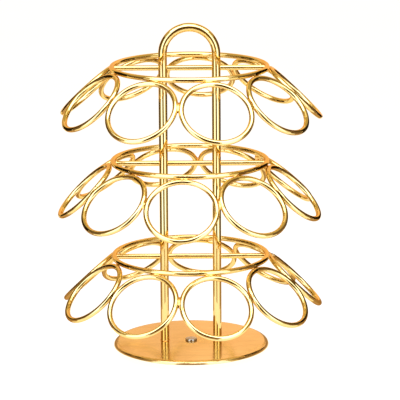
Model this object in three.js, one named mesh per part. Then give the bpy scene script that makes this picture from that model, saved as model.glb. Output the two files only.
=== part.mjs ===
// A revolving carousel for coffee capsules: three tiers of tilted wire rings on
// a gold-plated wire tower, standing on a disc that turns on a flat ball race.
//
// Units are millimetres and +Z is up. The origin is on the turning axis, on the
// surface that the feet stand on. Angles round the axis are measured from the
// front (-Y) towards +X, in degrees.

import * as THREE from 'three';

// ---- driving dimensions ----------------------------------------------------

const GAP = 0.3; // between pieces that meet and are soldered together

const WIRE = 3.9; // diameter of the rings, hoops and crossbars
const ROD = 6.4; // diameter of the bent rod of the tower

const FOOT = { radius: 5, taper: 0.5, height: 2.1, circle: 34, count: 4 };
const PLATE = { radius: 42, thickness: 1.0 };
const BALL = { diameter: 3.0, circle: 30, count: 12, play: 0.15 };
const CAGE = { width: 8, thickness: 0.8, clearance: 0.25 };
const DISC = { radius: 58, thickness: 1.0, edgeWidth: 3.4, edgeDrop: 2.7 };
const RIVET = { shank: 2.5, head: 4.4, headHeight: 1.5, tailHeight: 0.8, clearance: 0.25 };

const LEG_SPACING = 39.2; // between the centrelines of the tower's two legs
const ARCH_TOP = 244.5; // height of the arch's centreline

const HOOP_RADIUS = 56.9;
const RING = { perTier: 9, radius: 25.3, tilt: 43.9, topRadius: 59.75, drop: 3.0 };

// A crossbar lies barDrop lower than its hoop.
const TIERS = [
  { name: 'bottom', height: 73.3, phase: -26.1, barDrop: 2.2 },
  { name: 'middle', height: 144.9, phase: -4.4, barDrop: 2.9 },
  { name: 'top', height: 215.2, phase: -25.7, barDrop: 1.6 },
];

// How finely the round shapes are faceted: sides of a wire's section, and steps
// along a bend or round a turned piece.
const SIDES = { ring: 6, hoop: 8, rod: 8, crossbar: 10 };
const STEPS = { ring: 26, hoop: 54, tower: 80, foot: 20, rivet: 24, plate: 48, disc: 56 };
const CURVE_STEPS = { dome: 5, edge: 6, cage: 12, ballRound: 8, ballUp: 6 };

// ---- heights that follow from them -----------------------------------------

const plateBottom = FOOT.height + GAP;
const plateTop = plateBottom + PLATE.thickness;
const ballCentre = plateTop + BALL.play + BALL.diameter / 2;
const discBottom = ballCentre + BALL.diameter / 2 + BALL.play;
const discTop = discBottom + DISC.thickness;
const barOffset = (ROD + WIRE) / 2 + GAP; // the crossbars run just behind the legs

// ---- materials -------------------------------------------------------------

const metal = (color, roughness) =>
  new THREE.MeshStandardMaterial({ color, roughness, metalness: 1.0 });
const plain = (color, roughness) =>
  new THREE.MeshStandardMaterial({ color, roughness, metalness: 0.0 });

const goldWire = metal(0xf2c25c, 0.12);
const goldDisc = metal(0xf2ab62, 0.18);
const brightSteel = metal(0xd9d4ca, 0.2);
const greySteel = metal(0x9a9a98, 0.45);
const whiteNylon = plain(0xe8e4da, 0.6);
const blackRubber = plain(0x1d1c1b, 0.85);

// ---- helpers ---------------------------------------------------------------

const model = new THREE.Group();

function add(name, geometry, material, parent = model) {
  const mesh = new THREE.Mesh(geometry, material);
  mesh.name = name;
  parent.add(mesh);
  return mesh;
}

// A solid turned about the Z axis from (radius, height) points.
function turned(points, segments) {
  const profile = points.map(([radius, height]) => new THREE.Vector2(radius, height));
  const geometry = new THREE.LatheGeometry(profile, segments);
  geometry.rotateX(Math.PI / 2);
  return geometry;
}

// A flat washer-shaped disc, whose section closes on itself.
function flatRing(inside, outside, bottom, top, segments) {
  const section = [
    [inside, bottom],
    [outside, bottom],
    [outside, top],
    [inside, top],
    [inside, bottom],
  ];
  return turned(section, segments);
}

// A round wire bent into a closed ring, lying flat.
function wireRing(radius, diameter, sides, steps) {
  return new THREE.TorusGeometry(radius, diameter / 2, sides, steps);
}

// ---- base: the part that stands still --------------------------------------

function addFeet() {
  const { radius, taper, height, circle, count } = FOOT;
  const section = [
    [0, 0],
    [radius, 0],
    [radius - taper, height],
    [0, height],
  ];
  for (let i = 0; i < count; i++) {
    const angle = (2 * Math.PI * (i + 0.5)) / count;
    const foot = add(`foot_${i + 1}`, turned(section, STEPS.foot), blackRubber);
    foot.position.set(circle * Math.cos(angle), circle * Math.sin(angle), 0);
  }
}

function addLowerPlate() {
  const hole = RIVET.shank + RIVET.clearance;
  const geometry = flatRing(hole, PLATE.radius, plateBottom, plateTop, STEPS.plate);
  add('lower_plate', geometry, greySteel);
}

// The rivet is set in the lower plate; the disc turns on its shank, under a domed head.
function addPivotRivet() {
  const { shank, head, headHeight, tailHeight } = RIVET;
  const headBottom = discTop + GAP;
  const tailTop = plateBottom - GAP;
  const section = [
    [0, tailTop - tailHeight],
    [head, tailTop - tailHeight],
    [head, tailTop],
    [shank, tailTop],
    [shank, headBottom],
    [head, headBottom],
  ];
  const straight = headHeight / 2;
  for (let i = 0; i < CURVE_STEPS.dome; i++) {
    const angle = (Math.PI / 2) * (i / CURVE_STEPS.dome);
    const height = headBottom + straight + (headHeight - straight) * Math.sin(angle);
    section.push([head * Math.cos(angle), height]);
  }
  section.push([0, headBottom + headHeight]);
  add('pivot_rivet', turned(section, STEPS.rivet), brightSteel);
}

// ---- ball race between the plates ------------------------------------------

function ballAngle(i) {
  return (2 * Math.PI * i) / BALL.count;
}

function addBallCage() {
  const inside = BALL.circle - CAGE.width / 2;
  const outline = new THREE.Shape();
  outline.absarc(0, 0, inside + CAGE.width, 0, 2 * Math.PI, false);
  const middle = new THREE.Path();
  middle.absarc(0, 0, inside, 0, 2 * Math.PI, true);
  outline.holes.push(middle);
  for (let i = 0; i < BALL.count; i++) {
    const pocket = new THREE.Path();
    const x = BALL.circle * Math.cos(ballAngle(i));
    const y = BALL.circle * Math.sin(ballAngle(i));
    pocket.absarc(x, y, BALL.diameter / 2 + CAGE.clearance, 0, 2 * Math.PI, true);
    outline.holes.push(pocket);
  }
  const options = { depth: CAGE.thickness, bevelEnabled: false, curveSegments: CURVE_STEPS.cage };
  const cage = add('ball_cage', new THREE.ExtrudeGeometry(outline, options), whiteNylon);
  cage.position.z = ballCentre - CAGE.thickness / 2;
}

function addBalls() {
  for (let i = 0; i < BALL.count; i++) {
    const { ballRound, ballUp } = CURVE_STEPS;
    const geometry = new THREE.SphereGeometry(BALL.diameter / 2, ballRound, ballUp);
    geometry.rotateX(Math.PI / 2);
    const ball = add(`ball_${String(i + 1).padStart(2, '0')}`, geometry, brightSteel);
    const angle = ballAngle(i);
    ball.position.set(BALL.circle * Math.cos(angle), BALL.circle * Math.sin(angle), ballCentre);
  }
}

// ---- carousel: the part that turns -----------------------------------------

// A point of the disc's edge, which curves down as a quarter of an ellipse.
function edgePoint(width, drop, t) {
  const angle = (Math.PI / 2) * t;
  const inner = DISC.radius - DISC.edgeWidth;
  const bottom = discTop - DISC.edgeDrop;
  return [inner + width * Math.sin(angle), bottom + drop * Math.cos(angle)];
}

function addTurntable() {
  const { thickness, edgeWidth, edgeDrop } = DISC;
  const hole = RIVET.shank + RIVET.clearance;
  const steps = CURVE_STEPS.edge;
  const upper = [];
  const lower = [];
  for (let i = 0; i <= steps; i++) {
    upper.push(edgePoint(edgeWidth, edgeDrop, i / steps));
    lower.push(edgePoint(edgeWidth - thickness, edgeDrop - thickness, i / steps));
  }
  const section = [[hole, discBottom], ...lower, ...upper.reverse(), [hole, discTop], [hole, discBottom]];
  add('turntable_disc', turned(section, STEPS.disc), goldDisc);
}

// One rod: up the left leg, round the arch that serves as the handle, down the right leg.
class TowerLine extends THREE.Curve {
  constructor(halfWidth, bottom, top) {
    super();
    this.halfWidth = halfWidth;
    this.bottom = bottom;
    this.springing = top - halfWidth;
    this.leg = this.springing - bottom;
    this.arc = Math.PI * halfWidth;
  }

  getPoint(t, target = new THREE.Vector3()) {
    const { halfWidth, bottom, springing, leg, arc } = this;
    const along = t * (2 * leg + arc);
    if (along < leg) {
      return target.set(-halfWidth, 0, bottom + along);
    }
    if (along > leg + arc) {
      return target.set(halfWidth, 0, springing - (along - leg - arc));
    }
    const angle = Math.PI * (1 - (along - leg) / arc);
    const x = halfWidth * Math.cos(angle);
    return target.set(x, 0, springing + halfWidth * Math.sin(angle));
  }
}

function addTower() {
  const section = new THREE.Shape();
  for (let i = 0; i < SIDES.rod; i++) {
    const angle = (2 * Math.PI * i) / SIDES.rod;
    const x = (ROD / 2) * Math.cos(angle);
    const y = (ROD / 2) * Math.sin(angle);
    if (i === 0) {
      section.moveTo(x, y);
    } else {
      section.lineTo(x, y);
    }
  }
  section.closePath();
  const extrudePath = new TowerLine(LEG_SPACING / 2, discTop + GAP, ARCH_TOP);
  const options = { steps: STEPS.tower, extrudePath };
  add('tower_frame', new THREE.ExtrudeGeometry(section, options), goldWire);
}

function addHoop(tier) {
  const geometry = wireRing(HOOP_RADIUS, WIRE, SIDES.hoop, STEPS.hoop);
  const hoop = add(`hoop_${tier.name}`, geometry, goldWire);
  hoop.position.z = tier.height;
}

function addCrossbar(tier) {
  const farSide = barOffset + WIRE / 2;
  const reach = Math.sqrt(HOOP_RADIUS ** 2 - farSide ** 2) - WIRE / 2 - GAP;
  const geometry = new THREE.CylinderGeometry(WIRE / 2, WIRE / 2, 2 * reach, SIDES.crossbar);
  geometry.rotateZ(Math.PI / 2);
  const bar = add(`crossbar_${tier.name}`, geometry, goldWire);
  bar.position.set(0, barOffset, tier.height - tier.barDrop);
}

// Each ring hangs from its hoop by its topmost point and slopes down and outwards.
function addRings(tier) {
  const { perTier, radius, tilt, topRadius, drop } = RING;
  for (let i = 0; i < perTier; i++) {
    const station = new THREE.Group();
    station.rotation.z = THREE.MathUtils.degToRad(tier.phase + (360 / perTier) * i - 90);
    station.position.z = tier.height - drop;
    const slope = new THREE.Group();
    slope.position.x = topRadius;
    slope.rotation.y = THREE.MathUtils.degToRad(tilt);
    station.add(slope);
    model.add(station);
    const geometry = wireRing(radius, WIRE, SIDES.ring, STEPS.ring);
    const ring = add(`ring_${tier.name}_${i + 1}`, geometry, goldWire, slope);
    ring.position.x = radius;
  }
}

// ---- the whole object ------------------------------------------------------

addFeet();
addLowerPlate();
addPivotRivet();
addBallCage();
addBalls();
addTurntable();
addTower();
for (const tier of TIERS) {
  addHoop(tier);
  addCrossbar(tier);
  addRings(tier);
}

export default model;
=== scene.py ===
"""Looks of a revolving coffee capsule carousel in polished, gold-plated wire.

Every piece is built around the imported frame: ring and hoop centres, radii, tilts and wire sizes are
measured on the frame's nodes, so nothing here repeats their places. Lengths are in metres, and the
scales of the textures are roughly in waves per metre.
"""

import math

import bpy
import numpy as np
from mathutils import Matrix, Vector, noise


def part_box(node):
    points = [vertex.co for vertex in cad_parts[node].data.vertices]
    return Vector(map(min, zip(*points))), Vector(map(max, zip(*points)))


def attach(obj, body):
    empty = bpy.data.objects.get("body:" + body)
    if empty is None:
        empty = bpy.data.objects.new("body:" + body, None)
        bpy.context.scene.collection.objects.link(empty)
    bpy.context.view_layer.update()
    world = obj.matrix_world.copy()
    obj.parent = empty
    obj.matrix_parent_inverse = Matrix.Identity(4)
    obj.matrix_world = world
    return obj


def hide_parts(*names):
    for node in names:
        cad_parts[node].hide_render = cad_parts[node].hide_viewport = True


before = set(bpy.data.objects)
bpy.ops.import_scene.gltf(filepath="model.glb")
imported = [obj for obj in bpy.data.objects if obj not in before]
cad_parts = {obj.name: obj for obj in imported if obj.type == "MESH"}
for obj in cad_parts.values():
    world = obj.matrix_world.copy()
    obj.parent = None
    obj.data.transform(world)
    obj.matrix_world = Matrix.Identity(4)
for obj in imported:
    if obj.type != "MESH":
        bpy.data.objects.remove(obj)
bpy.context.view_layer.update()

MM = 0.001
UP = Vector((0, 0, 1))
BACK = Vector((0, 1, 0))  # away from the camera

TIERS = ("bottom", "middle", "top")
RINGS_PER_TIER = 9
BALLS = 12
FEET = 4

# ---- fineness of the meshes -------------------------------------------------

WIRE_SIDES = 24
ROD_SIDES = 32
RING_STEPS = 112
HOOP_STEPS = 224
BAR_STEPS = 48
LEG_STEPS = 90
ARCH_STEPS = 72
COLLAR_SIDES = 64
COLLAR_STEPS = 8
DISC_SIDES = 256
DISC_EDGE_STEPS = 20
PLATE_SIDES = 160
RIVET_SIDES = 96
FOOT_SIDES = 64
BALL_SIDES = 32
BALL_STEPS = 18
CORNER_STEPS = 5
SHARP_ANGLE = math.radians(35.0)  # an edge that turns more than this is left sharp

# ---- details that the CAD leaves out -----------------------------------------

RING_WANDER = 0.12 * MM  # how far a hand-bent ring strays from a true circle
RING_WANDER_SCALE = 1.3  # how often it strays on the way round
LEG_SINK = 0.2 * MM  # how far the legs and their solder reach into the disc
DISC_EDGE = 3.4 * MM  # how far in from the outside the edge starts to curve down
DISC_SHEET = 1.0 * MM
RIVET_SHANK = 0.57  # as a part of the head's radius
RIVET_HOLE = 0.62  # the same, for the hole in the disc and in the lower plate

# ---- solder joints ----------------------------------------------------------

JOINT_LEVELS = 9  # rows of points from one wire to the other
JOINT_SIDES = 28
JOINT_UNEVENNESS = 0.10
JOINT_GRAIN = 500.0
RING_TO_HOOP = {"length": 4.6 * MM, "width": 1.35 * MM, "waist": 0.72}
RING_TO_RING = {"length": 5.4 * MM, "width": 1.7 * MM, "waist": 0.86}
BAR_TO_LEG = {"length": 1.9 * MM, "width": 1.9 * MM, "waist": 0.80}
BAR_TO_HOOP = {"length": 1.7 * MM, "width": 1.3 * MM, "waist": 0.85}
LEG_ROOT = 0.6  # where solder starts inside a leg, as a part of the rod's radius
BAR_ROOT = 0.5  # how far it starts inside a bar's end, as a part of the wire's radius

# ---- colours of the materials -----------------------------------------------
# Each pair is the two ends of a slow or fine drift. "grazing" is a metal's tint seen edge on.

GOLD = {"deep": (0.91, 0.66, 0.23), "light": (0.94, 0.72, 0.31), "grazing": (0.92, 0.72, 0.42)}
SOLDER = {"deep": (0.82, 0.42, 0.11), "light": (0.94, 0.55, 0.165)}
DISC = {"deep": (0.90, 0.62, 0.24), "light": (0.95, 0.71, 0.31), "grazing": (1.0, 0.92, 0.78)}
DISC_STREAK = (0.74, 0.45, 0.15)
BRIGHT_NICKEL = {"deep": (0.44, 0.39, 0.33), "light": (0.58, 0.52, 0.44)}
GREASED_STEEL = {"deep": (0.50, 0.50, 0.50), "light": (0.72, 0.71, 0.69)}
ZINC_SPANGLE = {"deep": (0.42, 0.43, 0.44), "light": (0.60, 0.60, 0.59)}
NATURAL_NYLON = {"deep": (0.74, 0.71, 0.62), "light": (0.86, 0.84, 0.77)}
DUSTY_RUBBER = {"deep": (0.016, 0.015, 0.015), "light": (0.060, 0.057, 0.053)}
PALE_FLOOR = {"deep": 0.28, "light": 0.32}

# ---- studio -----------------------------------------------------------------
# Polished metal shows little but its surroundings, so the studio gives the wires their lines: cool
# strips for the highlights, dark flags beside them, pale mats and low amber cards for the feet of
# the legs, and a warm backdrop for the disc.

WHITE = (1.0, 0.985, 0.95)
WARM = (1.0, 0.78, 0.36)
AMBER = (1.0, 0.64, 0.34)
BROWN = (1.0, 0.58, 0.28)
HONEY = (1.0, 0.69, 0.46)
COOL = (1.0, 1.2, 1.6)  # gold takes most of the blue away, so this comes back nearly white

ROOM_GLOW = 0.56
FLOOR_GLOW = 0.94
FLOOR_TINT = (1.0, 0.995, 0.985)
FLOOR_REACH = 12.0
CARD_STEPS = 8
# name, azimuth from the camera and spread in degrees, (distance, height) of its foot and of its
# head, colour, radiance
CARDS = (
    ("behind_camera", 0.0, 36.0, (0.36, 0.0), (0.36, 0.42), BROWN, 0.10),
    ("strip_left", -38.0, 32.0, (0.38, 0.0), (0.38, 0.50), COOL, 1.75),
    ("strip_right", 38.0, 32.0, (0.38, 0.0), (0.38, 0.50), COOL, 1.75),
    ("near_flag_left", -77.0, 28.0, (0.36, 0.0), (0.36, 0.42), AMBER, 0.19),
    ("near_flag_right", 84.0, 32.0, (0.36, 0.0), (0.36, 0.42), AMBER, 0.19),
    ("flag_left", -110.0, 36.0, (0.36, 0.0), (0.36, 0.42), BROWN, 0.02),
    ("flag_right", 121.0, 40.0, (0.36, 0.0), (0.36, 0.42), BROWN, 0.02),
    ("mat_left", -118.0, 70.0, (0.09, 0.002), (0.36, 0.002), HONEY, 0.62),
    ("mat_right", 118.0, 70.0, (0.09, 0.002), (0.36, 0.002), HONEY, 0.55),
    ("low_centre", 0.0, 26.0, (0.14, 0.0), (0.14, 0.045), AMBER, 0.42),
    ("low_left", -112.0, 84.0, (0.14, 0.0), (0.14, 0.045), AMBER, 0.42),
    ("low_right", 112.0, 84.0, (0.14, 0.0), (0.14, 0.045), AMBER, 0.42),
    ("skirting", 180.0, 90.0, (0.68, 0.0), (0.68, 0.07), BROWN, 0.20),
    ("backdrop_left", -162.0, 40.0, (0.70, 0.0), (0.70, 0.90), HONEY, 1.02),
    ("backdrop_right", 162.0, 40.0, (0.70, 0.0), (0.70, 0.90), HONEY, 1.14),
)
# name, place, size, colour, radiance; each looks straight down
SOFTBOXES = (
    ("overhead", (0.0, 0.0, 1.25), (0.55, 0.55), WHITE, 0.9),
    ("front_top", (0.0, -0.27, 0.60), (0.80, 0.40), COOL, 2.4),
)


# =============================================================================
# Measuring the frame
# =============================================================================


def corners_of(node):
    """The separate vertices of a CAD node, as an array."""
    found = np.array([v.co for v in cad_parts[node].data.vertices], float)
    return np.unique(found.round(7), axis=0)


class Loop:
    """A round wire bent into a closed ring: its centre, normal, radius and wire radius."""

    def __init__(self, node):
        self.node = node
        points = corners_of(node)
        middle = points.mean(axis=0)
        _, _, axes = np.linalg.svd(points - middle, full_matrices=False)
        self.centre = Vector(middle)
        self.normal = Vector(axes[2])
        if self.normal.z < 0:
            self.normal.negate()
        out = points - middle
        out -= np.outer(out @ axes[2], axes[2])
        reach = np.linalg.norm(out, axis=1)
        self.radius = float(reach.max() + reach.min()) / 2
        self.wire = float(reach.max() - reach.min()) / 2

    def towards(self, direction):
        """The unit vector in the loop's plane that points most nearly in that direction."""
        flat = direction - self.normal * direction.dot(self.normal)
        return flat.normalized()

    def point(self, direction):
        """The point of the wire's centreline that lies furthest in that direction."""
        return self.centre + self.towards(direction) * self.radius


def middle_of(node):
    """The middle of a CAD node's box."""
    low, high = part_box(node)
    return (low + high) / 2


rings = {
    tier: [Loop(f"ring_{tier}_{i + 1}") for i in range(RINGS_PER_TIER)] for tier in TIERS
}
hoops = {tier: Loop(f"hoop_{tier}") for tier in TIERS}

disc_low, disc_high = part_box("turntable_disc")
plate_low, plate_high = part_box("lower_plate")
tower_low, tower_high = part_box("tower_frame")
rivet_low, rivet_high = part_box("pivot_rivet")
rod = (tower_high.y - tower_low.y) / 2  # the radius of the tower's rod
leg_x = tower_high.x - rod  # how far each leg stands from the middle


# =============================================================================
# Materials
# =============================================================================


class Shader:
    """A material with one Principled shader, and short ways to add the nodes that feed it."""

    def __init__(self, name):
        self.material = bpy.data.materials.new(name)
        self.material.use_nodes = True
        self.tree = self.material.node_tree
        self.bsdf = self.tree.nodes["Principled BSDF"]
        self.place = self.tree.nodes.new("ShaderNodeTexCoord").outputs["Object"]

    def constant(self, **values):
        """Sets the shader's own sockets; an underscore stands for a space in a socket's name."""
        for socket, value in values.items():
            self.bsdf.inputs[socket.replace("_", " ")].default_value = value

    def add(self, kind, inputs=None, **settings):
        node = self.tree.nodes.new(kind)
        for key, value in settings.items():
            setattr(node, key, value)
        for key, value in (inputs or {}).items():
            if isinstance(value, bpy.types.NodeSocket):
                self.tree.links.new(value, node.inputs[key])
            else:
                node.inputs[key].default_value = value
        return node

    def stretched(self, scale, turn=0.0):
        """The place, turned about Z and scaled differently along each axis, for streaks."""
        inputs = {"Vector": self.place, "Scale": scale, "Rotation": (0.0, 0.0, turn)}
        node = self.add("ShaderNodeMapping", inputs)
        return node.outputs["Vector"]

    def noise(self, scale, detail=3.0, roughness=0.55, vector=None, distortion=0.0):
        node = self.add(
            "ShaderNodeTexNoise",
            {
                "Vector": vector or self.place,
                "Scale": scale,
                "Detail": detail,
                "Roughness": roughness,
                "Distortion": distortion,
            },
        )
        return node.outputs["Fac"]

    def ramp(self, value, *stops):
        """Colours or greys at positions 0 to 1 of a value. A number stands for a grey."""
        node = self.add("ShaderNodeValToRGB", {"Fac": value})
        elements = node.color_ramp.elements
        while len(elements) < len(stops):
            elements.new(0.5)
        for element, (position, colour) in zip(elements, stops):
            element.position = position
            if isinstance(colour, (int, float)):
                colour = (colour,) * 3
            element.color = (*colour, 1.0)
        return node.outputs["Color"]

    def math(self, operation, a, b):
        node = self.add("ShaderNodeMath", {0: a, 1: b}, operation=operation)
        return node.outputs["Value"]

    def drift(self, value, low, high, pair):
        """From a pair's deep colour to its light one, as the value goes from low to high."""
        return self.ramp(value, (low, pair["deep"]), (high, pair["light"]))

    def mix(self, factor, a, b):
        node = self.add("ShaderNodeMix", {"Factor": factor}, data_type="RGBA")
        for socket, value in ((node.inputs[6], a), (node.inputs[7], b)):
            if isinstance(value, bpy.types.NodeSocket):
                self.tree.links.new(value, socket)
            else:
                socket.default_value = (*value, 1.0)
        return node.outputs[2]

    def feed(self, socket, value):
        """Links a value into the Principled shader."""
        self.tree.links.new(value, self.bsdf.inputs[socket])

    def bump(self, height, strength, distance, under=None):
        inputs = {"Height": height, "Strength": strength, "Distance": distance}
        if under is not None:
            inputs["Normal"] = under
        node = self.add("ShaderNodeBump", inputs)
        return node.outputs["Normal"]


def polished_gold(name, pair, roughness, specks):
    """Bright gold plating: a slow shift of tone, dull specks, rub marks and a drawn wire's ripple."""
    shader = Shader(name)
    grazing = (*GOLD["grazing"], 1.0)
    shader.constant(Metallic=1.0, Specular_IOR_Level=0.5, Specular_Tint=grazing)
    tone = shader.drift(shader.noise(30.0, detail=2.0), 0.30, 0.70, pair)
    grain = shader.noise(420.0, detail=4.0, roughness=0.7)
    dull = shader.ramp(grain, (0.66, 0.0), (0.80, 1.0))
    dulled = tuple(0.75 * c for c in pair["deep"])
    tone = shader.mix(shader.math("MULTIPLY", dull, specks), tone, dulled)
    shader.feed("Base Color", tone)
    smooth, rough = roughness
    rubbed = shader.noise(120.0, detail=5.0, roughness=0.65, distortion=0.6)
    shader.feed("Roughness", shader.ramp(rubbed, (0.35, smooth), (0.75, rough)))
    ripple = shader.bump(shader.noise(90.0, detail=1.0), 0.05, 0.08 * MM)
    shader.feed("Normal", ripple)
    return shader.material


def mirror_gold(name):
    """The disc: warmer polished sheet with drifting tone, slanting streaks, wipe marks and ripple."""
    shader = Shader(name)
    grazing = (*DISC["grazing"], 1.0)
    shader.constant(Metallic=1.0, Specular_IOR_Level=0.5, Specular_Tint=grazing)
    tone = shader.drift(shader.noise(16.0, detail=3.0, distortion=0.5), 0.34, 0.66, DISC)
    slanting = shader.stretched((1.0, 5.0, 1.0), math.radians(28.0))
    streaks = shader.noise(34.0, detail=3.0, vector=slanting)
    fade = shader.ramp(streaks, (0.38, 0.0), (0.62, 0.30))
    shader.feed("Base Color", shader.mix(fade, tone, DISC_STREAK))
    wiped = shader.stretched((1.0, 3.0, 1.0))
    wipes = shader.noise(70.0, detail=6.0, roughness=0.7, vector=wiped)
    shader.feed("Roughness", shader.ramp(wipes, (0.30, 0.12), (0.75, 0.21)))
    flow = shader.bump(shader.noise(26.0, detail=1.0), 0.05, 0.25 * MM)
    lines = shader.noise(1100.0, detail=2.0)
    shader.feed("Normal", shader.bump(lines, 0.02, 0.01 * MM, under=flow))
    return shader.material


def turned_steel(name):
    """The rivet: bright nickel over steel, with fine rings left by the heading tool."""
    shader = Shader(name)
    shader.constant(Metallic=1.0, Specular_IOR_Level=0.5)
    wave = shader.add(
        "ShaderNodeTexWave",
        {"Vector": shader.place, "Scale": 700.0, "Distortion": 0.4, "Detail": 2.0},
        wave_type="RINGS",
        rings_direction="Z",
    )
    cloud = shader.noise(300.0, detail=4.0)
    shader.feed("Base Color", shader.drift(cloud, 0.3, 0.7, BRIGHT_NICKEL))
    shader.feed("Roughness", shader.ramp(cloud, (0.3, 0.14), (0.8, 0.30)))
    shader.feed("Normal", shader.bump(wave.outputs["Fac"], 0.10, 0.03 * MM))
    return shader.material


def ball_steel(name):
    """Hardened balls with a thin film of grease."""
    shader = Shader(name)
    shader.constant(Metallic=1.0, Coat_Weight=0.4, Coat_Roughness=0.2)
    smear = shader.noise(500.0, detail=4.0)
    shader.feed("Base Color", shader.drift(smear, 0.3, 0.7, GREASED_STEEL))
    shader.feed("Roughness", shader.ramp(smear, (0.3, 0.08), (0.8, 0.24)))
    return shader.material


def zinc_plate(name):
    """The hidden lower plate: zinc-plated sheet with a soft spangle and scuffs."""
    shader = Shader(name)
    shader.constant(Metallic=1.0, Specular_IOR_Level=0.5)
    cells = {"Vector": shader.place, "Scale": 210.0, "Randomness": 1.0}
    spangle = shader.add("ShaderNodeTexVoronoi", cells).outputs["Color"]
    shader.feed("Base Color", shader.drift(spangle, 0.2, 0.8, ZINC_SPANGLE))
    scuffed = shader.stretched((1.0, 5.0, 1.0))
    scuffs = shader.noise(120.0, detail=6.0, roughness=0.75, vector=scuffed)
    shader.feed("Roughness", shader.ramp(scuffs, (0.3, 0.32), (0.7, 0.55)))
    shader.feed("Normal", shader.bump(scuffs, 0.15, 0.05 * MM))
    return shader.material


def moulded_nylon(name):
    """The cage: natural nylon, a little translucent, with a fine moulded grain."""
    shader = Shader(name)
    bleed = (1.0 * MM, 0.9 * MM, 0.7 * MM)
    shader.constant(Metallic=0.0, Subsurface_Weight=0.1, Subsurface_Radius=bleed)
    mottle = shader.noise(160.0, detail=4.0)
    shader.feed("Base Color", shader.drift(mottle, 0.3, 0.7, NATURAL_NYLON))
    shader.feed("Roughness", shader.ramp(mottle, (0.3, 0.42), (0.7, 0.58)))
    shader.feed("Normal", shader.bump(shader.noise(2200.0), 0.2, 0.03 * MM))
    return shader.material


def soft_rubber(name):
    """The feet: black rubber with dust in its grain."""
    shader = Shader(name)
    shader.constant(Metallic=0.0, Specular_IOR_Level=0.35)
    dust = shader.noise(260.0, detail=6.0, roughness=0.7)
    shader.feed("Base Color", shader.drift(dust, 0.45, 0.75, DUSTY_RUBBER))
    shader.feed("Roughness", shader.ramp(dust, (0.3, 0.72), (0.7, 0.92)))
    shader.feed("Normal", shader.bump(shader.noise(3000.0), 0.35, 0.05 * MM))
    return shader.material


GOLD_WIRE = polished_gold("gold_wire", GOLD, roughness=(0.02, 0.06), specks=0.25)
GOLD_SOLDER = polished_gold("gold_solder", SOLDER, roughness=(0.12, 0.26), specks=0.55)
GOLD_DISC = mirror_gold("gold_disc")
NICKEL = turned_steel("bright_nickel")
BALL_STEEL = ball_steel("ball_steel")
ZINC = zinc_plate("zinc_plate")
NYLON = moulded_nylon("cage_nylon")
RUBBER = soft_rubber("foot_rubber")


# =============================================================================
# Mesh helpers
# =============================================================================


def add_object(name, data):
    """A new object in the scene."""
    added = bpy.data.objects.new(name, data)
    bpy.context.scene.collection.objects.link(added)
    return added


def plain_mesh(name, vertices, faces, material):
    """A mesh of one material."""
    mesh = bpy.data.meshes.new(name)
    mesh.from_pydata([tuple(v) for v in vertices], [], faces)
    mesh.materials.append(material)
    return mesh


class Builder:
    """Collects vertices and faces of one piece."""

    def __init__(self):
        self.vertices = []
        self.faces = []

    def rows(self, rows, closed=False, capped=False):
        """Joins rows of points, each row a closed section, into a skin."""
        start = len(self.vertices)
        count = len(rows[0])
        for row in rows:
            self.vertices.extend(row)
        last = len(rows) if closed else len(rows) - 1
        for i in range(last):
            here = start + i * count
            there = start + ((i + 1) % len(rows)) * count
            for k in range(count):
                n = (k + 1) % count
                self.faces.append((here + k, here + n, there + n, there + k))
        if capped:
            self.faces.append(tuple(start + k for k in reversed(range(count))))
            end = start + (len(rows) - 1) * count
            self.faces.append(tuple(end + k for k in range(count)))

    def piece(self, name, material, body, slot, replaces=()):
        """Makes the finished piece, which rides on a body and may stand for CAD nodes."""
        mesh = plain_mesh(name, self.vertices, self.faces, material)
        mesh.validate()
        mesh.shade_smooth()
        mesh.set_sharp_from_angle(angle=SHARP_ANGLE)
        piece = add_object(name, mesh)
        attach(piece, body)
        if replaces:
            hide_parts(*replaces)
        return piece


def section(centre, across, beside, radius, sides=WIRE_SIDES):
    """A round section of a wire, in the plane of two unit vectors."""
    points = []
    for k in range(sides):
        angle = 2 * math.pi * k / sides
        points.append(centre + (across * math.cos(angle) + beside * math.sin(angle)) * radius)
    return points


def bent_loop(builder, loop, steps, unevenness=0.0, seed=0.0):
    """A closed ring of wire, which may stray from a true circle by the unevenness."""
    lies_flat = abs(loop.normal.z) >= 0.99
    first = loop.towards(BACK if lies_flat else UP)
    second = loop.normal.cross(first)
    rows = []
    for i in range(steps):
        angle = 2 * math.pi * i / steps
        out = first * math.cos(angle) + second * math.sin(angle)
        wander = unevenness * noise.noise(out * RING_WANDER_SCALE + Vector((seed, 0, 0)))
        centre = loop.centre + out * (loop.radius + wander)
        rows.append(section(centre, out, loop.normal, loop.wire))
    builder.rows(rows, closed=True)


def turned(builder, profile, steps, middle=(0, 0)):
    """A solid turned about an upright axis. A profile that starts and ends on it is closed there."""
    rows = []
    on_axis = abs(profile[0][0]) < 1e-9 and abs(profile[-1][0]) < 1e-9
    inner = profile[1:-1] if on_axis else profile
    for radius, height in inner:
        row = []
        for k in range(steps):
            angle = 2 * math.pi * k / steps
            x = middle[0] + radius * math.cos(angle)
            row.append(Vector((x, middle[1] + radius * math.sin(angle), height)))
        rows.append(row)
    start = len(builder.vertices)
    builder.rows(rows, closed=not on_axis)
    if on_axis:
        bottom = len(builder.vertices)
        builder.vertices.append(Vector((*middle, profile[0][1])))
        builder.vertices.append(Vector((*middle, profile[-1][1])))
        end = start + (len(rows) - 1) * steps
        for k in range(steps):
            n = (k + 1) % steps
            builder.faces.append((bottom, start + n, start + k))
            builder.faces.append((bottom + 1, end + k, end + n))


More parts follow.
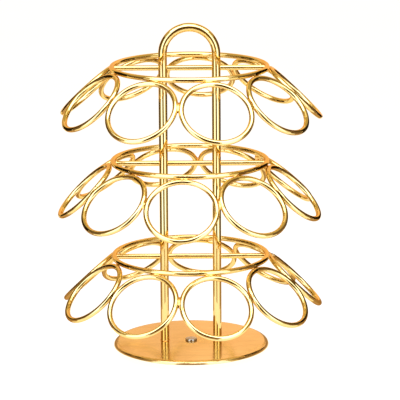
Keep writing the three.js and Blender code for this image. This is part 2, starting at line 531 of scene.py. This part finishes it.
def rounded(corners, radius):
    """A profile of (radius, height) corners, each inner one rounded off."""
    most = 0.45  # of the way to the next corner
    points = [corners[0]]
    for before, here, after in zip(corners, corners[1:], corners[2:]):
        a, b, c = Vector(before), Vector(here), Vector(after)
        cut = min(radius, (a - b).length * most, (c - b).length * most)
        start = b + (a - b).normalized() * cut
        end = b + (c - b).normalized() * cut
        for i in range(CORNER_STEPS + 1):
            t = i / CORNER_STEPS
            point = start * (1 - t) ** 2 + b * 2 * t * (1 - t) + end * t**2
            points.append(tuple(point))
    points.append(corners[-1])
    return points


def rounded_ring(corners, radius):
    """The same for a profile that closes on itself."""
    looped = [corners[-1], *corners, corners[0]]
    return rounded(looped, radius)[1:-1]


def solder(builder, start, end, along, length, width, waist, seed):
    """Solder drawn in between two wires: wide where it wets them, narrow halfway."""
    axis = end - start
    centre = (start + end) / 2
    side = axis.cross(along).normalized()
    along = side.cross(axis).normalized()
    rows = []
    for i in range(JOINT_LEVELS):
        q = 2 * i / (JOINT_LEVELS - 1) - 1
        spread = waist + (1 - waist) * q * q
        row = []
        for k in range(JOINT_SIDES):
            angle = 2 * math.pi * k / JOINT_SIDES
            offset = along * (length * math.cos(angle)) + side * (width * math.sin(angle))
            grain = noise.noise(offset * JOINT_GRAIN + Vector((seed, q, 0)))
            uneven = 1 + JOINT_UNEVENNESS * grain
            row.append(centre + axis * (q / 2) + offset * (spread * uneven))
        rows.append(row)
    builder.rows(rows, capped=True)


# =============================================================================
# The carousel
# =============================================================================


def make_rings():
    """Each capsule ring, bent a little unevenly."""
    for t, tier in enumerate(TIERS):
        for i, ring in enumerate(rings[tier]):
            builder = Builder()
            bent_loop(builder, ring, RING_STEPS, unevenness=RING_WANDER, seed=7.3 * t + i)
            builder.piece(f"wire_{ring.node}", GOLD_WIRE, "carousel", "gold_wire", [ring.node])


def make_hoops():
    """The hoop of each tier, which lies flat."""
    for tier, hoop in hoops.items():
        builder = Builder()
        bent_loop(builder, hoop, HOOP_STEPS)
        builder.piece(f"wire_{hoop.node}", GOLD_WIRE, "carousel", "gold_wire", [hoop.node])


def make_ring_solder():
    """Each ring is soldered to its hoop at the top, and to the next ring at the side."""
    for t, tier in enumerate(TIERS):
        builder = Builder()
        hoop = hoops[tier]
        for i, ring in enumerate(rings[tier]):
            top = ring.point(UP)
            on_hoop = hoop.point(top - hoop.centre)
            tangent = UP.cross(ring.centre - hoop.centre)
            solder(builder, top, on_hoop, tangent, **RING_TO_HOOP, seed=10 * t + i)
            after = rings[tier][(i + 1) % RINGS_PER_TIER]
            between = after.centre - ring.centre
            here = ring.point(between)
            there = after.point(-between)
            tangent = ring.normal.cross(ring.towards(between))
            solder(builder, here, there, tangent, **RING_TO_RING, seed=50 + 10 * t + i)
        builder.piece(f"solder_rings_{tier}", GOLD_SOLDER, "carousel", "gold_wire")


def make_crossbars():
    """A straight length of wire across each hoop, behind the legs, with its solder."""
    for tier in TIERS:
        node = f"crossbar_{tier}"
        low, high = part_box(node)
        middle = middle_of(node)
        wire = (high.z - low.z) / 2
        hoop = hoops[tier]
        reach = high.x + hoop.wire / 2
        builder = Builder()
        rows = []
        for i in range(BAR_STEPS + 1):
            x = -reach + 2 * reach * i / BAR_STEPS
            rows.append(section(Vector((x, middle.y, middle.z)), BACK, UP, wire))
        builder.rows(rows, capped=True)
        builder.piece(f"wire_{node}", GOLD_WIRE, "carousel", "gold_wire", [node])

        joints = Builder()
        for side in (-1, 1):
            leg = Vector((side * leg_x, 0, middle.z))
            on_bar = Vector((side * leg_x, middle.y, middle.z))
            in_leg = leg + (on_bar - leg).normalized() * rod * LEG_ROOT
            solder(joints, in_leg, on_bar, UP, **BAR_TO_LEG, seed=80 + side)
            end = Vector((side * (high.x - wire * BAR_ROOT), middle.y, middle.z))
            on_hoop = hoop.point(end - hoop.centre)
            tangent = UP.cross(on_hoop - hoop.centre)
            solder(joints, end, on_hoop, tangent, **BAR_TO_HOOP, seed=90 + side)
        joints.piece(f"solder_{node}", GOLD_SOLDER, "carousel", "gold_wire")


def make_tower():
    """One rod bent into two legs and the arch that is the handle."""
    springing = tower_high.z - rod - leg_x
    foot = disc_high.z - LEG_SINK
    rise = springing - foot
    line = []
    for i in range(LEG_STEPS):
        line.append((Vector((-leg_x, 0, foot + rise * i / LEG_STEPS)), math.pi))
    for i in range(ARCH_STEPS + 1):
        angle = math.pi * (1 - i / ARCH_STEPS)
        out = Vector((math.cos(angle), 0, math.sin(angle)))
        line.append((Vector((0, 0, springing)) + out * leg_x, angle))
    for i in range(1, LEG_STEPS + 1):
        line.append((Vector((leg_x, 0, springing - rise * i / LEG_STEPS)), 0.0))
    rows = []
    for centre, angle in line:
        out = Vector((math.cos(angle), 0, math.sin(angle)))
        rows.append(section(centre, out, BACK, rod, sides=ROD_SIDES))
    builder = Builder()
    builder.rows(rows, capped=True)
    builder.piece("rod_tower_frame", GOLD_WIRE, "carousel", "gold_wire", ["tower_frame"])


def make_foot_solder():
    """A low collar of solder where each leg stands on the disc."""
    builder = Builder()
    height = 0.7 * MM
    flare = 0.6 * MM
    inside = rod * 0.7
    steepness = 1.6
    sunk = disc_high.z - LEG_SINK
    for side in (-1, 1):
        profile = [(inside, sunk), (rod + flare, sunk)]
        for i in range(COLLAR_STEPS + 1):
            t = i / COLLAR_STEPS
            radius = rod + flare * (1 - t) ** 2
            profile.append((radius, disc_high.z + height * t**steepness))
        profile.append((inside, disc_high.z + height))
        turned(builder, profile, COLLAR_SIDES, middle=(side * leg_x, 0))
    builder.piece("solder_legs", GOLD_SOLDER, "carousel", "gold_wire")


def edge_point(t, inset):
    """A point of the disc's edge, a quarter of an ellipse from the flat top down to the lip."""
    angle = math.pi / 2 * t
    across = disc_high.x - DISC_EDGE + (DISC_EDGE - inset) * math.sin(angle)
    drop = disc_high.z - disc_low.z - inset
    return across, disc_low.z + drop * math.cos(angle)


def make_disc():
    """Pressed sheet, flat and polished, with an edge that curves down all round to a thin lip."""
    hole = rivet_high.x * RIVET_HOLE
    chamfer = 0.3 * MM
    top = disc_high.z
    stations = [i / DISC_EDGE_STEPS for i in range(DISC_EDGE_STEPS + 1)]
    outer = [edge_point(t, 0.0) for t in stations]
    inner = [edge_point(t, DISC_SHEET) for t in stations]
    rim = [(hole + chamfer, top), (hole, top - chamfer)]
    builder = Builder()
    turned(builder, [(hole, top - DISC_SHEET), *inner, *outer[::-1], *rim], DISC_SIDES)
    builder.piece("sheet_turntable_disc", GOLD_DISC, "carousel", "gold_disc", ["turntable_disc"])


# =============================================================================
# The base
# =============================================================================


def make_rivet():
    """A low head with a rounded shoulder on a straight shank, and a flat head under the plate."""
    head = rivet_high.x
    shank = head * RIVET_SHANK
    top = rivet_high.z
    play = 0.05 * MM
    shoulder = 0.2 * MM
    seat = disc_high.z + play
    lower_top = plate_low.z - play
    corners = [
        (0, rivet_low.z),
        (head * 0.97, rivet_low.z),
        (head, lower_top - shoulder),
        (head * 0.97, lower_top),
        (shank, lower_top),
        (shank, seat),
        (head * 0.99, seat),
        (head, seat + shoulder),
        (head * 0.98, top - 0.55 * MM),
        (head * 0.80, top - 0.12 * MM),
        (head * 0.35, top - 0.02 * MM),
        (0, top),
    ]
    builder = Builder()
    turned(builder, rounded(corners, 0.45 * MM), RIVET_SIDES)
    builder.piece("nickel_pivot_rivet", NICKEL, "base", "bright_steel", ["pivot_rivet"])


def make_lower_plate():
    """Stamped sheet with a rolled edge, a groove for the balls and a stiffening step."""
    hole = rivet_high.x * RIVET_HOLE
    edge = plate_high.x
    race = math.hypot(*middle_of("ball_01").xy)
    top, bottom = plate_high.z, plate_low.z
    roll = 0.4 * MM
    groove = 0.25 * MM
    groove_floor = 0.8 * MM
    groove_mouth = 2.0 * MM
    step_foot = hole + 5.0 * MM
    step_head = hole + 6.0 * MM
    corners = [
        (hole, bottom),
        (edge - roll, bottom),
        (edge, bottom + roll),
        (edge, top - 0.2 * MM),
        (edge - 0.5 * MM, top),
        (race + groove_mouth, top),
        (race + groove_floor, top - groove),
        (race - groove_floor, top - groove),
        (race - groove_mouth, top),
        (step_head, top),
        (step_foot, top - groove),
        (hole, top - groove),
    ]
    builder = Builder()
    turned(builder, rounded_ring(corners, 0.3 * MM), PLATE_SIDES)
    builder.piece("sheet_lower_plate", ZINC, "base", "grey_steel", ["lower_plate"])


def make_feet():
    """Moulded rubber buttons with a soft edge and a suction ring underneath."""
    hollow = 0.35 * MM
    bevel = 0.45 * MM
    top = plate_low.z
    for i in range(FEET):
        node = f"foot_{i + 1}"
        low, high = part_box(node)
        radius = (high.x - low.x) / 2
        corners = [
            (0, hollow),
            (radius * 0.52, hollow),
            (radius * 0.62, 0),
            (radius * 0.90, 0),
            (radius, bevel),
            (radius * 0.93, top),
            (0, top),
        ]
        builder = Builder()
        turned(builder, rounded(corners, 0.3 * MM), FOOT_SIDES, middle=middle_of(node).xy)
        builder.piece(f"rubber_{node}", RUBBER, "base", "black_rubber", [node])


def make_balls():
    """The balls between the disc and the lower plate."""
    for i in range(BALLS):
        node = f"ball_{i + 1:02d}"
        low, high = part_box(node)
        middle = middle_of(node)
        radius = (high.z - low.z) / 2
        profile = []
        for k in range(BALL_STEPS + 1):
            angle = math.pi * (k / BALL_STEPS - 0.5)
            reach = max(0.0, radius * math.cos(angle))
            profile.append((reach, middle.z + radius * math.sin(angle)))
        profile[0] = (0, middle.z - radius)
        profile[-1] = (0, middle.z + radius)
        builder = Builder()
        turned(builder, profile, BALL_SIDES, middle=middle.xy)
        builder.piece(f"steel_{node}", BALL_STEEL, "ball_race", "bright_steel", [node])


def make_ball_cage():
    """The cage's own shape is right, so it stays and only gets its material."""
    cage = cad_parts["ball_cage"]
    cage.data.materials.clear()
    cage.data.materials.append(NYLON)


# =============================================================================
# Stage: floor, light and camera
# =============================================================================


def glow(name, colour, strength):
    """A material that only shines."""
    material = bpy.data.materials.new(name)
    material.use_nodes = True
    nodes = material.node_tree.nodes
    nodes.clear()
    emission = nodes.new("ShaderNodeEmission")
    emission.inputs["Color"].default_value = (*colour, 1.0)
    emission.inputs["Strength"].default_value = strength
    output = nodes.new("ShaderNodeOutputMaterial")
    material.node_tree.links.new(emission.outputs[0], output.inputs["Surface"])
    return material


def card(name, azimuth, spread, foot, head, material):
    """A curved studio card, standing or lying round the object and seen only in reflections."""
    vertices = []
    for i in range(CARD_STEPS + 1):
        angle = math.radians(azimuth - spread / 2 + spread * i / CARD_STEPS)
        for distance, height in (foot, head):
            vertices.append((distance * math.sin(angle), -distance * math.cos(angle), height))
    faces = [(2 * i, 2 * i + 1, 2 * i + 3, 2 * i + 2) for i in range(CARD_STEPS)]
    placed = add_object(name, plain_mesh(name, vertices, faces, material))
    placed.visible_camera = False
    placed.visible_diffuse = False
    placed.visible_shadow = False


def make_floor():
    """A white light table: it glows, so hardly any shadow is left on it."""
    shader = Shader("pale_floor")
    shader.constant(Roughness=0.9, Specular_IOR_Level=0.0)
    shader.constant(Emission_Color=(*FLOOR_TINT, 1.0), Emission_Strength=FLOOR_GLOW)
    shader.feed("Base Color", shader.drift(shader.noise(3.0, detail=2.0), 0.3, 0.7, PALE_FLOOR))
    signs = ((-1, -1), (1, -1), (1, 1), (-1, 1))
    corners = [(x * FLOOR_REACH, y * FLOOR_REACH, 0) for x, y in signs]
    mesh = plain_mesh("floor", corners, [(0, 1, 2, 3)], shader.material)
    add_object("floor", mesh)


def softbox(name, place, size, colour, radiance):
    """An area light that looks straight down; its face has the given radiance."""
    light = bpy.data.lights.new(name, "AREA")
    light.shape = "RECTANGLE"
    light.size, light.size_y = size
    light.color = colour
    light.energy = radiance * math.pi * size[0] * size[1]
    lamp = add_object(name, light)
    lamp.location = place
    lamp.visible_camera = False


def make_studio():
    """A warm room with softboxes overhead and cards all round."""
    world = bpy.data.worlds.new("studio")
    bpy.context.scene.world = world
    world.use_nodes = True
    background = world.node_tree.nodes["Background"]
    background.inputs["Color"].default_value = (*WARM, 1.0)
    background.inputs["Strength"].default_value = ROOM_GLOW
    for values in SOFTBOXES:
        softbox(*values)
    for name, azimuth, spread, foot, head, colour, radiance in CARDS:
        card(name, azimuth, spread, foot, head, glow(f"card_{name}", colour, radiance))


def make_camera():
    """Level with a seated eye: a long lens looking down a little on the middle of the tower."""
    elevation = math.radians(12.74)
    roll = math.radians(-0.35)
    distance = 1.8525
    aim_height = 0.1132
    shift_right = 0.00719  # how far to the right of the axis the line of sight passes
    shift_up = 0.00199  # and how far above the height that it aims at
    back = Vector((0, -math.cos(elevation), math.sin(elevation)))
    right = Vector((1, 0, 0))
    up = back.cross(right)
    rolled_right = right * math.cos(roll) + up * math.sin(roll)
    rolled_up = up * math.cos(roll) - right * math.sin(roll)
    data = bpy.data.cameras.new("camera")
    data.sensor_width = 36.0
    data.lens = 225.0
    data.clip_start, data.clip_end = 0.05, 50.0
    camera = add_object("camera", data)
    place = UP * aim_height + rolled_right * shift_right + rolled_up * shift_up
    turn = Matrix((rolled_right, rolled_up, back)).transposed().to_4x4()
    camera.matrix_world = Matrix.Translation(place + back * distance) @ turn
    bpy.context.scene.camera = camera


def make_view():
    """Colours as they are, with no film look."""
    scene = bpy.context.scene
    scene.view_settings.view_transform = "Standard"
    scene.view_settings.look = "None"
    scene.view_settings.exposure = 0.0
    scene.view_settings.gamma = 1.0


# =============================================================================
# The whole scene
# =============================================================================

make_camera()
make_view()
make_studio()
make_floor()

make_rings()
make_hoops()
make_ring_solder()
make_crossbars()
make_tower()
make_foot_solder()
make_disc()

make_rivet()
make_lower_plate()
make_feet()
make_balls()
make_ball_cage()
